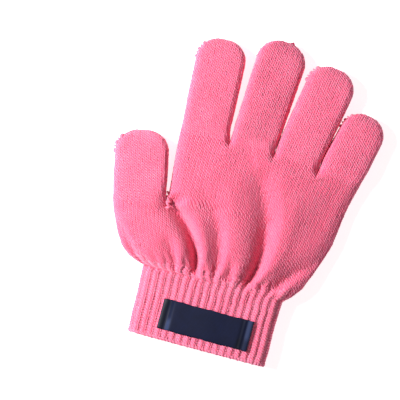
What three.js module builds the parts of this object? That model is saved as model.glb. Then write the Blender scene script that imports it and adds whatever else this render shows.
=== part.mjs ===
import * as THREE from "three";

// A knitted riding glove for the right hand, lying palm down with the back of the hand up.
// Millimetres. +Z is up from the table, +Y runs from the wrist to the fingers, +X to the little finger.
// The hand is one seamless knitted tube that branches into a thumb and four fingers, hollow and open
// at the wrist. A ribbed cuff carries on from it, and a woven label lies across the cuff's back.

// Driving dimensions of the fabric
const knitWall = 1.8; // stockinette of the hand
const ribWall = 1.5; // ribbed fabric of the cuff
const fabricGap = 0.3; // where two pieces meet face to face

// The cuff, a flattened tube whose wall is folded into ribs
const cuff = {
  length: 38,
  ribs: 40, // counted all the way round
  ribDepth: 0.6, // half the height of a rib over its groove
  pointsPerRib: 4,
};
// From the mouth to the wrist: how far along, the middle's X, the width and the thickness
const cuffRows = [
  { y: 0, middle: -0.1, width: 78.6, height: 12.0 },
  { y: 2.5, middle: -0.1, width: 79.2, height: 12.4 },
  { y: 25, middle: -0.4, width: 80.4, height: 12.4 },
  { y: 38, middle: -0.4, width: 80.8, height: 13.0 },
];

// How the section of a flattened tube is drawn
const section = {
  edgeReach: 0.5, // how far the round side reaches in, as a share of the thickness
  edgeLimit: 0.46, // and at most this share of the width
  widestAt: 0.45, // height of the widest place, as a share of the thickness
  shoulderAt: 0.86, // height at which the round side meets the crown
  cornerAngle: 25, // degrees above and below the widest place where the sides are parted from the faces
  arcSteps: 6,
};

// Columns of the mesh across the face of each finger, and across each narrow side
const columns = 6;
const sideColumns = 3;

// Rows of the palm from the wrist to the thumb's crotch: both ends and the middle of each row in
// plan, and the thickness there. The right end of each row is on the little finger's side.
const rowSteps = 2; // rows of the mesh for each row of a palm table
const wristRows = [
  { leftX: -41.5, leftY: 38.3, middleY: 38.3, rightX: 40.7, rightY: 38.3, height: 14.2 },
  { leftX: -47.6, leftY: 39.6, middleY: 41.6, rightX: 44.9, rightY: 41.6, height: 17.0 },
  { leftX: -53.6, leftY: 43.8, middleY: 46.4, rightX: 48.0, rightY: 46.6, height: 18.0 },
  { leftX: -58.4, leftY: 49.8, middleY: 53.0, rightX: 50.8, rightY: 53.4, height: 17.6 },
  { leftX: -62.2, leftY: 57.0, middleY: 61.0, rightX: 53.8, rightY: 61.4, height: 16.8 },
  { leftX: -65.2, leftY: 63.6, middleY: 69.4, rightX: 56.6, rightY: 69.2, height: 16.0 },
  { leftX: -67.4, leftY: 69.6, middleY: 77.6, rightX: 58.8, rightY: 76.0, height: 15.2 },
];
const thumbShare = 0.238; // share of the palm's width that goes into the thumb

// Rows of the palm above the thumb's crotch, up to the knuckles
const knuckleRows = [
  { leftX: -37.9, leftY: 85.0, middleY: 87.6, rightX: 59.9, rightY: 85.6, height: 14.6 },
  { leftX: -38.9, leftY: 95.0, middleY: 97.6, rightX: 61.0, rightY: 94.4, height: 14.0 },
  { leftX: -39.8, leftY: 104.6, middleY: 107.2, rightX: 62.6, rightY: 102.4, height: 13.4 },
  { leftX: -40.6, leftY: 115.0, middleY: 117.6, rightX: 64.4, rightY: 109.2, height: 12.8 },
];
const fingerShares = [0.272, 0.518, 0.768]; // crotches across the knuckle row

// Valley between neighbouring fingers at the knuckle row, and how far it runs down into the palm
const crotchGroove = { depth: 4.8, reach: 7.5, halfWidth: 5.0 };

// Each finger: where it leaves the knuckle row, its lean from +Y in degrees, its length from there
// to the tip, and half its width at the root, in the middle and where the tip starts to round.
// The rows are the index, middle, ring and little finger.
const fingers = [
  { x: -26.5, y: 116.4, lean: -3.0, length: 56.3, root: 13.6, middle: 14.2, end: 14.6 },
  { x: 0.9, y: 117.6, lean: 3.4, length: 62.2, root: 12.7, middle: 13.0, end: 13.9 },
  { x: 27.2, y: 116.0, lean: 9.6, length: 57.2, root: 12.7, middle: 13.2, end: 13.5 },
  { x: 52.6, y: 111.8, lean: 12.6, length: 40.6, root: 11.9, middle: 12.3, end: 12.5 },
];
const thumb = { x: -52.8, y: 73.0, lean: -11.4, length: 39.8, root: 14.9, middle: 15.5, end: 15.3 };
const fingerHeight = { root: 12.6, end: 11.6 };
const thumbHeight = { root: 14.2, end: 12.0 };
const tipLength = 13; // the rounded end of a finger
const tipRoundness = 2.3; // 2 is an ellipse in plan, more is squarer
const tipThinning = 2.6; // the same for the thickness
const fingerStations = [0.07, 0.3, 0.65, 1]; // shares of the straight part
const tipStations = [0.4, 0.66, 0.84, 0.95]; // shares of the rounded end

// Gathers above the cuff. Each is a valley along a bent line from (x0, y0) over (x1, y1) to
// (x2, y2), with its depth at the wrist end and at the far end and half its width.
const gathers = [
  { x0: -12.6, y0: 40, x1: -14, y1: 58, x2: -37, y2: 78, near: 5.4, far: 3.2, halfWidth: 4.6 },
  { x0: -1.6, y0: 41, x1: -2, y1: 60, x2: -17, y2: 78, near: 4.2, far: 0.3, halfWidth: 4.2 },
  { x0: 17.6, y0: 42, x1: 24, y1: 66, x2: 5, y2: 90, near: 5.0, far: 0.2, halfWidth: 5.2 },
  { x0: 32.6, y0: 43, x1: 38, y1: 54, x2: 50, y2: 68, near: 4.4, far: 0.4, halfWidth: 4.4 },
  { x0: -31.0, y0: 38, x1: -36, y1: 43, x2: -50, y2: 44, near: 4.0, far: 1.6, halfWidth: 3.2 },
  { x0: -22.0, y0: 39, x1: -24, y1: 43, x2: -30, y2: 50, near: 3.0, far: 0.3, halfWidth: 3.0 },
  { x0: 8.0, y0: 40, x1: 8, y1: 46, x2: 7, y2: 54, near: 3.0, far: 0.2, halfWidth: 3.2 },
];
const gatherSteps = 12;

// The woven label: a tape whose ends are folded under and sewn down
const label = {
  middleX: 2.0,
  middleY: 14.1,
  width: 52.8,
  height: 17.0,
  tape: 0.6,
  fold: 1.2, // thickness where an end is folded under, two layers
  foldLength: 5.0,
  foldRamp: 2.5,
  steps: 26,
};

const pink = 0xf4668f;
const knitMaterial = new THREE.MeshStandardMaterial({ color: pink, roughness: 0.95, metalness: 0 });
const ribMaterial = new THREE.MeshStandardMaterial({ color: 0xf56a93, roughness: 0.95, metalness: 0 });
const labelMaterial = new THREE.MeshStandardMaterial({ color: 0x1b2340, roughness: 0.6, metalness: 0 });

const mix = THREE.MathUtils.lerp;
const radians = THREE.MathUtils.degToRad;

// Distances along a polyline of [across, up] points, from its start to each point
function runningLength(line) {
  const lengths = [0];
  for (let i = 1; i < line.length; i++) {
    const step = Math.hypot(line[i][0] - line[i - 1][0], line[i][1] - line[i - 1][1]);
    lengths.push(lengths[i - 1] + step);
  }
  return lengths;
}

// The value at which a rising list of keys reaches a wanted key
function valueWhere(values, keys, wanted) {
  let i = 1;
  while (i < keys.length - 1 && keys[i] < wanted) i++;
  const t = THREE.MathUtils.clamp((wanted - keys[i - 1]) / (keys[i] - keys[i - 1]), 0, 1);
  return mix(values[i - 1], values[i], t);
}

// The point of a polyline at which a rising list of keys reaches a wanted key
function pointWhere(line, keys, wanted) {
  return [0, 1].map((axis) => valueWhere(line.map((point) => point[axis]), keys, wanted));
}

// A table with more rows, each mixed from its two neighbours
function withRowsBetween(rows, steps) {
  const count = (rows.length - 1) * steps + 1;
  return Array.from({ length: count }, (_, i) => {
    const first = rows[Math.floor(i / steps)];
    const second = rows[Math.ceil(i / steps)];
    const share = (i % steps) / steps;
    return Object.fromEntries(Object.keys(first).map((key) => [key, mix(first[key], second[key], share)]));
  });
}

// The four stretches of a flattened tube's section, as [across, up] points. It is flat underneath,
// round at both sides and crowned on top, and it starts at the left and runs over the top.
function sectionStretches(width, height, lift = 0) {
  const reach = Math.min(section.edgeReach * height, section.edgeLimit * width);
  const widest = section.widestAt * height;
  const shoulder = section.shoulderAt * height;
  const side = (degrees) => {
    const rise = degrees > 0 ? shoulder - widest : widest;
    const out = reach * Math.cos(radians(degrees));
    return [width - reach + out, lift + widest + rise * Math.sin(radians(degrees))];
  };
  const arc = (from, to) =>
    Array.from({ length: section.arcSteps + 1 }, (_, i) => side(mix(from, to, i / section.arcSteps)));
  const mirrored = (line) => line.map(([across, up]) => [width - across, up]).reverse();
  const corner = section.cornerAngle;
  const upper = arc(90, corner);
  const lower = arc(-corner, -90);
  const crown = [];
  for (let i = 1; i < 2 * section.arcSteps; i++) {
    const t = i / section.arcSteps - 1;
    crown.push([width / 2 + t * (width / 2 - reach), lift + mix(height, shoulder, t * t)]);
  }
  return {
    top: [...mirrored(upper), ...crown, ...upper],
    right: arc(corner, -corner),
    bottom: [...lower, ...mirrored(lower)],
    left: mirrored(arc(corner, -corner)),
  };
}

// Depth of the gathers at a place in plan
function gatherDepth(x, y) {
  let depth = 0;
  for (const g of gathers) {
    for (let i = 0; i <= gatherSteps; i++) {
      const t = i / gatherSteps;
      const lineX = mix(mix(g.x0, g.x1, t), mix(g.x1, g.x2, t), t);
      const lineY = mix(mix(g.y0, g.y1, t), mix(g.y1, g.y2, t), t);
      const away = Math.hypot(x - lineX, y - lineY) / g.halfWidth;
      depth = Math.max(depth, mix(g.near, g.far, t) * Math.exp(-away * away));
    }
  }
  return depth;
}

// A closed skin under construction. A ring lists the vertices round a tube in four stretches: the
// top from left to right, the right side down, the bottom from right to left and the left side up.
class Skin {
  points = [];
  faces = [];

  add(x, y, z) {
    this.points.push(new THREE.Vector3(x, y, z));
    return this.points.length - 1;
  }

  loop(ring) {
    return [...ring.top, ...ring.right, ...ring.bottom, ...ring.left];
  }

  // A ring across a row. knots are the shares of the width where fingers part, with both ends.
  ring(row, knots, lower = () => 0) {
    const { width } = row;
    const stretches = sectionStretches(width, row.height, row.lift);
    const put = ([across, up], drop = 0) => {
      const [x, y] = row.place(across / width);
      return this.add(x, y, up - drop * lower(x, y));
    };
    const spread = (line) => {
      const lengths = runningLength(line);
      const across = line.map((point) => point[0]);
      const marks = knots.map((share) => valueWhere(lengths, across, share * width));
      const points = [];
      for (let i = 0; i + 1 < marks.length; i++) {
        for (let k = 0; k < columns; k++) {
          points.push(pointWhere(line, lengths, mix(marks[i], marks[i + 1], k / columns)));
        }
      }
      points.push(line[line.length - 1]);
      return points;
    };
    const between = (line) => {
      const lengths = runningLength(line);
      const total = lengths[lengths.length - 1];
      return Array.from({ length: sideColumns - 1 }, (_, i) =>
        pointWhere(line, lengths, (total * (i + 1)) / sideColumns),
      );
    };
    // The bottom stretch runs from right to left, so it is turned round before and after.
    return {
      top: spread(stretches.top).map((p) => put(p, 1)),
      right: between(stretches.right).map((p) => put(p)),
      bottom: spread([...stretches.bottom].reverse()).reverse().map((p) => put(p)),
      left: between(stretches.left).map((p) => put(p)),
    };
  }

  // Joins two rings, the second further along the tube.
  band(first, second) {
    const a = this.loop(first);
    const b = this.loop(second);
    a.forEach((_, i) => {
      const j = (i + 1) % a.length;
      this.faces.push([a[i], a[j], b[j]], [a[i], b[j], b[i]]);
    });
  }

  // Closes a tube at its far end on one point.
  close(ring, x, y, z) {
    const tip = this.add(x, y, z);
    const a = this.loop(ring);
    a.forEach((_, i) => this.faces.push([a[i], a[(i + 1) % a.length], tip]));
  }

  // Parts a ring into one ring for each branch. Neighbours share the web in the crotch.
  split(ring, counts) {
    const total = ring.top.length - 1;
    const rings = [];
    let start = 0;
    let leftSide = ring.left;
    counts.forEach((count, i) => {
      const end = start + count;
      const last = i === counts.length - 1;
      const web = last ? ring.right : this.web(ring.top[end], ring.bottom[total - end]);
      rings.push({
        top: ring.top.slice(start, end + 1),
        right: web,
        bottom: ring.bottom.slice(total - end, total - start + 1),
        left: leftSide,
      });
      leftSide = [...web].reverse();
      start = end;
    });
    return rings;
  }

  web(above, below) {
    const [a, b] = [this.points[above], this.points[below]];
    return Array.from({ length: sideColumns - 1 }, (_, i) => {
      const p = a.clone().lerp(b, (i + 1) / sideColumns);
      return this.add(p.x, p.y, p.z);
    });
  }

  geometry() {
    const g = new THREE.BufferGeometry();
    g.setAttribute(
      "position",
      new THREE.Float32BufferAttribute(this.points.flatMap((p) => [p.x, p.y, p.z]), 3),
    );
    g.setIndex(this.faces.flat());
    g.computeVertexNormals();
    return g;
  }

  // Doubles the skin into a wall: a copy moved inwards by the thickness, joined at the open ring.
  thicken(thickness, openRing) {
    const normals = this.geometry().getAttribute("normal");
    const count = this.points.length;
    const rim = this.loop(openRing);
    for (let i = 0; i < count; i++) {
      const inward = new THREE.Vector3().fromBufferAttribute(normals, i).multiplyScalar(-thickness);
      const p = this.points[i].clone().add(inward);
      this.add(p.x, p.y, p.z);
    }
    for (const i of rim) this.points[i + count].y = this.points[i].y;
    this.faces.push(...this.faces.map(([a, b, c]) => [a + count, c + count, b + count]));
    rim.forEach((a, i) => {
      const b = rim[(i + 1) % rim.length];
      this.faces.push([b, a, a + count], [b, a + count, b + count]);
    });
  }
}

// A row of the palm, bent in plan through its two ends and its middle
function palmRow(r) {
  const place = (t) => {
    const y = r.leftY * (1 - t) * (1 - 2 * t) + 4 * r.middleY * t * (1 - t) + r.rightY * t * (2 * t - 1);
    return [mix(r.leftX, r.rightX, t), y];
  };
  return { width: r.rightX - r.leftX, height: r.height, lift: 0, place };
}

// A row straight across a finger, at a distance from its root
function fingerRow(finger, along, halfWidth, height, lift = 0) {
  const lean = radians(finger.lean);
  const x = finger.x + along * Math.sin(lean);
  const y = finger.y + along * Math.cos(lean);
  const place = (t) => {
    const across = (2 * t - 1) * halfWidth;
    return [x + across * Math.cos(lean), y - across * Math.sin(lean)];
  };
  return { width: 2 * halfWidth, height, lift, place };
}

// Runs a finger from its first ring to its closed tip.
function knitFinger(skin, firstRing, finger, heights) {
  const straight = finger.length - tipLength;
  let last = firstRing;
  const grow = (row) => {
    const next = skin.ring(row, [0, 1]);
    skin.band(last, next);
    last = next;
  };
  for (const t of fingerStations) {
    const rootHalf = mix(finger.root, finger.middle, 2 * t);
    const endHalf = mix(finger.middle, finger.end, 2 * t - 1);
    const halfWidth = t < 0.5 ? rootHalf : endHalf;
    grow(fingerRow(finger, t * straight, halfWidth, mix(heights.root, heights.end, t)));
  }
  const rise = section.widestAt * heights.end;
  for (const t of tipStations) {
    const narrow = Math.pow(1 - Math.pow(t, tipRoundness), 1 / tipRoundness);
    const thin = Math.sqrt(1 - Math.pow(t, tipThinning));
    const along = straight + t * tipLength;
    grow(fingerRow(finger, along, finger.end * narrow, heights.end * thin, rise * (1 - thin)));
  }
  const tip = fingerRow(finger, finger.length, finger.end, 0).place(0.5);
  skin.close(last, tip[0], tip[1], rise);
}

// The hand: palm, thumb and four fingers in one seamless knit
function knitHand() {
  const skin = new Skin();
  const palmKnots = [0, thumbShare];
  for (const share of [...fingerShares, 1]) palmKnots.push(mix(thumbShare, 1, share));
  let last = null;
  let wrist = null;
  for (const r of withRowsBetween(wristRows, rowSteps)) {
    const next = skin.ring(palmRow(r), palmKnots, gatherDepth);
    if (last) skin.band(last, next);
    wrist ??= next;
    last = next;
  }

  const [thumbRing, palmRing] = skin.split(last, [columns, 4 * columns]);
  knitFinger(skin, thumbRing, thumb, thumbHeight);

  // The crotches lie on the last knuckle row, and each starts a valley that fades into the palm.
  const knuckles = palmRow(knuckleRows[knuckleRows.length - 1]);
  const crotches = fingerShares.map((share) => knuckles.place(share));
  const valleys = (x, y) => {
    let depth = gatherDepth(x, y);
    for (const [crotchX, crotchY] of crotches) {
      const across = (x - crotchX) / crotchGroove.halfWidth;
      const down = Math.max(0, crotchY - y) / crotchGroove.reach;
      depth = Math.max(depth, crotchGroove.depth * Math.exp(-across * across - down * down));
    }
    return depth;
  };
  last = palmRing;
  for (const r of withRowsBetween(knuckleRows, rowSteps)) {
    const next = skin.ring(palmRow(r), [0, ...fingerShares, 1], valleys);
    skin.band(last, next);
    last = next;
  }
  const roots = skin.split(last, fingers.map(() => columns));
  fingers.forEach((finger, i) => knitFinger(skin, roots[i], finger, fingerHeight));

  skin.thicken(knitWall, wrist);
  return skin.geometry();
}

// The cuff's plain outline at a row, as evenly spaced [across, up] points right round
function cuffOutline(row, count) {
  const s = sectionStretches(row.width, row.height, cuff.ribDepth);
  const line = [...s.top, ...s.right.slice(1), ...s.bottom.slice(1), ...s.left.slice(1)];
  const lengths = runningLength(line);
  const total = lengths[lengths.length - 1];
  return Array.from({ length: count }, (_, i) => pointWhere(line, lengths, (total * i) / count));
}

// The ribbed cuff, a tube open at both ends whose inner and outer faces both follow the ribs
function ribCuff() {
  const count = cuff.ribs * cuff.pointsPerRib;
  const skin = new Skin();
  const outer = [];
  const inner = [];
  for (const row of cuffRows) {
    const outline = cuffOutline(row, count);
    const rings = [[], []];
    outline.forEach(([across, up], i) => {
      const before = outline[(i + count - 1) % count];
      const after = outline[(i + 1) % count];
      const out = new THREE.Vector2(before[1] - after[1], after[0] - before[0]).normalize();
      const wave = cuff.ribDepth * Math.cos((2 * Math.PI * i) / cuff.pointsPerRib);
      [wave, wave - ribWall].forEach((offset, side) => {
        const x = row.middle - row.width / 2 + across + out.x * offset;
        rings[side].push(skin.add(x, row.y, up + out.y * offset));
      });
    });
    outer.push(rings[0]);
    inner.push(rings[1]);
  }
  const asRing = (list) => ({ top: list, right: [], bottom: [], left: [] });
  const last = cuffRows.length - 1;
  for (let i = 0; i < last; i++) {
    skin.band(asRing(outer[i]), asRing(outer[i + 1]));
    skin.band(asRing(inner[i + 1]), asRing(inner[i]));
  }
  skin.band(asRing(inner[0]), asRing(outer[0]));
  skin.band(asRing(outer[last]), asRing(inner[last]));
  return skin.geometry();
}

// The label, drawn as a long section that follows the cuff's crown and pushed along Y
function wovenLabel() {
  const crownRow = cuffRows[2];
  const crown = sectionStretches(crownRow.width, crownRow.height, cuff.ribDepth).top;
  const across = crown.map((p) => p[0]);
  const under = [];
  const over = [];
  for (let i = 0; i <= label.steps; i++) {
    const x = label.middleX + (i / label.steps - 0.5) * label.width;
    const at = x - crownRow.middle + crownRow.width / 2;
    const rest = pointWhere(crown, across, at)[1] + cuff.ribDepth + fabricGap;
    const fromEnd = label.width / 2 - Math.abs(x - label.middleX);
    const rampEnd = label.foldLength + label.foldRamp;
    const folded = 1 - THREE.MathUtils.smoothstep(fromEnd, label.foldLength, rampEnd);
    under.push(new THREE.Vector2(x, rest));
    over.push(new THREE.Vector2(x, rest + mix(label.tape, label.fold, folded)));
  }
  const shape = new THREE.Shape([...under, ...over.reverse()]);
  const geometry = new THREE.ExtrudeGeometry(shape, { depth: label.height, bevelEnabled: false });
  geometry.rotateX(Math.PI / 2);
  geometry.translate(0, label.middleY + label.height / 2, 0);
  return geometry;
}

const glove = new THREE.Group();
glove.name = "riding_glove";
const pieces = [
  ["knit_hand", knitHand(), knitMaterial],
  ["rib_cuff", ribCuff(), ribMaterial],
  ["woven_label", wovenLabel(), labelMaterial],
];
for (const [name, geometry, material] of pieces) {
  const mesh = new THREE.Mesh(geometry, material);
  mesh.name = name;
  glove.add(mesh);
}

// The origin is under the middle of the glove, on the table.
const bounds = new THREE.Box3().setFromObject(glove);
const middle = bounds.getCenter(new THREE.Vector3());
glove.position.set(-middle.x, -middle.y, -bounds.min.z);

export default glove;
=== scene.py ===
import math

import bpy
import numpy as np
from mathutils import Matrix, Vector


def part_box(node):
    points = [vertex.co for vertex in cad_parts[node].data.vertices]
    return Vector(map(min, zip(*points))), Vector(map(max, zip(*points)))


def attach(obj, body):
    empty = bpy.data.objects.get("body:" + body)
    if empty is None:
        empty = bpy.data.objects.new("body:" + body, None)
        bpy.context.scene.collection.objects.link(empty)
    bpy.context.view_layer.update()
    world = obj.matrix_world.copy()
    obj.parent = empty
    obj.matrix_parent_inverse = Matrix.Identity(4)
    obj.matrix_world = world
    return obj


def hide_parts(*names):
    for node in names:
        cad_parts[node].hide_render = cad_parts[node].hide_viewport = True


# A stretch knitted riding glove for the right hand, lying palm down. The knit is modelled stitch by
# stitch on a smooth hollow body, and each leg of a stitch is a short piece of yarn.
# Sizes are in millimetres, in the drawing's own axes: x towards the little finger, y up from the
# cuff's edge and z up from the table. place() turns them into metres in the part's frame.

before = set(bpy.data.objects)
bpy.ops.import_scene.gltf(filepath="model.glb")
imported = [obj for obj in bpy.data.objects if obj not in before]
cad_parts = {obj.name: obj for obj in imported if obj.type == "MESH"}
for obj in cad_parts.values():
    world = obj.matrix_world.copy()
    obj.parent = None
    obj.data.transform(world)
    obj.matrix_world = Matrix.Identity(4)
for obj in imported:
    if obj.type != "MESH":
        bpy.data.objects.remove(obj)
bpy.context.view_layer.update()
cuff_low, cuff_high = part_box("rib_cuff")

MM = 0.001
CUFF_MIDDLE_X = -0.4
DRAWING_ORIGIN = np.array([(cuff_low[0] + cuff_high[0]) / 2 / MM - CUFF_MIDDLE_X, cuff_low[1] / MM, 0.0])

# The knit
WALE = 2.1  # width of one stitch
COURSE = 1.47  # height of one stitch
BODY_INSET = 0.32  # the body lies this deep under the solid's surface, so the stitches end there
KNIT_WALL = 1.1  # the body itself, without the stitches
DOT_HEIGHT = 0.75  # the palm lies this high, on its grip dots

# The section of a flattened tube. The edge reaches in by a share of the height, but no further than a
# share of the width. Its widest place and its shoulder lie at shares of the height.
EDGE_REACH = 0.5
EDGE_LIMIT = 0.46
WIDEST_AT = 0.45
SHOULDER_AT = 0.86
FINGER_SHOULDER_AT = 0.97
FINGER_EDGE_REACH = 0.21
SECTION_POINTS = 360
SOFTENING = 1.3  # corners are softened over this length, or less where the tube is thinner than THICK
THICK = 8

# Rows of the palm. Columns: left end x and y, middle y, right end x and y, thickness
WRIST_ROWS = np.array([
    [-41.0, 38.3, 38.3, 40.2, 38.3, 13.6],
    [-46.8, 39.8, 41.6, 43.9, 41.4, 14.9],
    [-53.6, 43.8, 46.4, 48.3, 46.6, 16.7],
    [-58.4, 49.8, 53.0, 51.3, 53.4, 17.3],
    [-62.2, 57.0, 61.0, 54.5, 61.4, 16.8],
    [-65.2, 63.6, 69.4, 57.2, 69.2, 16.0],
    [-67.4, 69.6, 77.6, 59.4, 76.0, 15.2],
])
KNUCKLE_ROWS = np.array([
    [-37.5, 75.6, 77.6, 59.4, 76.0, 15.2],
    [-37.9, 85.0, 87.6, 60.5, 85.6, 14.6],
    [-38.9, 95.0, 97.6, 61.6, 94.4, 14.0],
    [-39.8, 104.6, 107.2, 63.2, 102.4, 13.4],
    [-40.6, 115.0, 117.6, 65.0, 109.2, 12.8],
])
# Where the thumb and the fingers part: the share of the row's width, and the wales on its left
WRIST_WALES = 60
THUMB_CUT = (15, 0.238)
THUMB_WEB = 3  # wales on half of the upright web in a crotch
KNUCKLE_WALES = WRIST_WALES - THUMB_CUT[0] + THUMB_WEB
FINGER_CUTS = [(14, 0.272), (26, 0.518), (37, 0.768)]
FINGER_WEB = 2

# The fingers. Columns: root x and y, lean from +y in degrees, length, half width at the root, in
# the middle and where the tip starts to round, and how far the right side lies below the left
FINGERS = {
    "index": [-26.5, 116.4, -2.7, 56.7, 13.6, 14.2, 14.3, 0.3],
    "middle": [1.3, 117.6, 3.5, 62.9, 13.3, 13.75, 14.2, 3.8],
    "ring": [26.9, 116.0, 10.0, 57.9, 13.3, 13.8, 14.0, 0.4],
    "little": [52.2, 111.8, 13.2, 41.2, 12.9, 13.3, 12.9, 1.2],
}
THUMB = [-52.8, 73.0, -11.4, 39.8, 14.9, 15.5, 15.3, -1.5]
FINGER_HEIGHTS = (12.6, 11.6)
THUMB_HEIGHTS = (14.2, 12.0)
TIP_LENGTH = 13
TIP_ROUNDNESS = 2.15
TIP_THINNING = 2.6
TIP_CLOSED = 0.996  # the last row lies at this share of the tip
ROOT_BLEND = 8  # a finger takes this length to turn from a strip of the palm into a tube
EVEN_BLEND = 1.6 * ROOT_BLEND  # and its wales take this one to become even

# The cuff. Columns: distance from the mouth, middle x, width, thickness
CUFF_ROWS = np.array([
    [0.0, -0.1, 78.6, 12.0],
    [2.5, -0.1, 79.2, 12.4],
    [25.0, -0.4, 80.0, 12.4],
    [38.3, -0.4, 81.2, 13.6],
])
RIBS = 40
RIB_DEPTH = 0.6
CUFF_LENGTH = 38.3
CUFF_WALL = 1.0
EDGE_ROLL = 0.7  # the cast-on edge stands out this far
EDGE_ROLL_AT = 1.1  # from the mouth
RIB_CREST = 0.55  # less than 1 makes the ribs broad and their grooves narrow
RIB_MOUTH = (0.4, 3.2)  # between these the ribs rise to their full depth, from RIB_MOUTH_DEPTH of it
RIB_MOUTH_DEPTH = 0.35
RIB_EXTRA = (2.6, 1.9)  # courses that a rib runs on into the palm, and how much that varies
RIB_RUN_ON = 1.5  # every rib goes on this far beyond the cuff
RIB_FADE = 6.5  # and then fades over this length

# Folds of the knit above the cuff. Each is a valley along a bent line, with a low ridge on its right.
# Columns: start x and y, bend x and y, end x and y, then at the start and at the end: depth, width of
# the left slope, width of the right slope
FOLDS = np.array([
    [-11.6, 39.0, -11.6, 59.0, -34.2, 74.6, 11.0, 3.2, 1.8, 8.0, 4.4, 3.6],
    [-1.0, 40.0, 1.0, 60.0, -12.6, 80.0, 5.2, 2.8, 1.6, 2.0, 6.6, 5.2],
    [17.0, 40.0, 29.0, 66.0, 10.6, 99.0, 10.4, 2.5, 1.8, 3.2, 9.8, 7.6],
    [31.0, 40.0, 37.0, 52.0, 54.0, 66.0, 4.6, 3.4, 2.4, 1.2, 6.6, 4.6],
    [-23.5, 39.0, -24.0, 46.0, -33.0, 57.0, 4.6, 2.8, 1.8, 0.4, 4.2, 3.0],
    [6.4, 39.5, 7.4, 46.0, 4.6, 56.0, 3.0, 2.0, 1.6, 0.2, 3.4, 2.6],
    [-7.0, 40.0, -6.6, 44.0, -8.4, 52.0, 2.2, 1.9, 1.6, 0.2, 2.8, 2.2],
    [24.6, 41.0, 26.4, 46.0, 30.0, 54.0, 2.4, 2.0, 1.8, 0.2, 2.8, 2.4],
    [-18.4, 39.5, -18.4, 43.0, -21.6, 50.0, 2.2, 1.8, 1.6, 0.2, 2.6, 2.2],
])
HEEL_GROOVE = np.array([-29.0, 36.0, -47.0, 38.6, -58.6, 56.0, 3.6, 2.6, 2.2, 1.8, 2.8, 2.2])
FOLDS_START = (37.5, 47.0)  # the folds grow out of the cuff's end between these
GROOVE_START = (36.5, 39.5)
FOLD_FADE = 2.2  # how late along a fold it gets shallower; 1 is evenly
FOLD_RIDGE = 0.12  # of the valley's depth
FOLD_SIDES = (1.35, 1.8)  # how the left and the right slope fall; 1 is a sharp crease, 2 a round one
# The back of the hand falls this much towards the little finger's side, from one x and y to another
PALM_FALL = 3.2
PALM_FALL_X = (22.0, 66.0)
PALM_FALL_Y = (114.0, 90.0)
CROTCH_VALLEY = {"depth": 3.6, "reach": 2.6, "half_width": 1.5}
# The relief of the knit shows on the upper side, from the first to the second share of the height
PALM_TOP = (0.42, 0.8)
FINGER_TOP = (0.5, 0.85)
FINGER_RIPPLE = 0.8  # of the palm's
# The line where the fingers were knitted on
FINGER_JOIN = np.array([[-14.1, 113.2], [-2.6, 113.0], [10.5, 113.4], [14.0, 111.8], [21.3, 111.0],
                        [29.6, 109.6], [37.5, 108.9], [42.0, 110.5]])
FINGER_JOIN_RISE = 0.6
FINGER_JOIN_WIDTH = 1.0


# Lines and tables

def hermite(keys, values, wanted):
    """Smooth values between the rows of a table, for rising keys."""
    keys = np.asarray(keys, float)
    values = np.asarray(values, float)
    slopes = np.gradient(values, keys, axis=0)
    i = np.clip(np.searchsorted(keys, wanted) - 1, 0, len(keys) - 2)
    gap = (keys[i + 1] - keys[i])[:, None]
    t = (np.asarray(wanted)[:, None] - keys[i][:, None]) / gap
    return ((2 * t**3 - 3 * t**2 + 1) * values[i] + (t**3 - 2 * t**2 + t) * gap * slopes[i]
            + (3 * t**2 - 2 * t**3) * values[i + 1] + (t**3 - t**2) * gap * slopes[i + 1])


def smoothstep(low, high, value):
    t = np.clip((value - low) / (high - low), 0, 1)
    return t * t * (3 - 2 * t)


def bell(distance, width=1.0):
    return np.exp(-(distance / width)**2)


def unit(vectors):
    return vectors / np.maximum(np.linalg.norm(vectors, axis=-1, keepdims=True), 1e-9)


def running_length(line):
    steps = np.linalg.norm(np.diff(line, axis=0), axis=1)
    return np.concatenate([[0], np.cumsum(steps)])


def at_lengths(line, lengths):
    """Points of a line at given distances from its start."""
    along = running_length(line)
    return np.column_stack([np.interp(lengths, along, line[:, k]) for k in range(line.shape[1])])


def at_shares(line, shares):
    return at_lengths(line, shares * running_length(line)[-1])


def width_share(line):
    """How far across a line each of its points lies, from 0 to 1."""
    return (line[:, 0] - line[:, 0].min()) / np.ptp(line[:, 0])


def evenly(line, count):
    """A line's points again, as count equal steps."""
    return at_lengths(line, np.linspace(0, running_length(line)[-1], count + 1))


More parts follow.
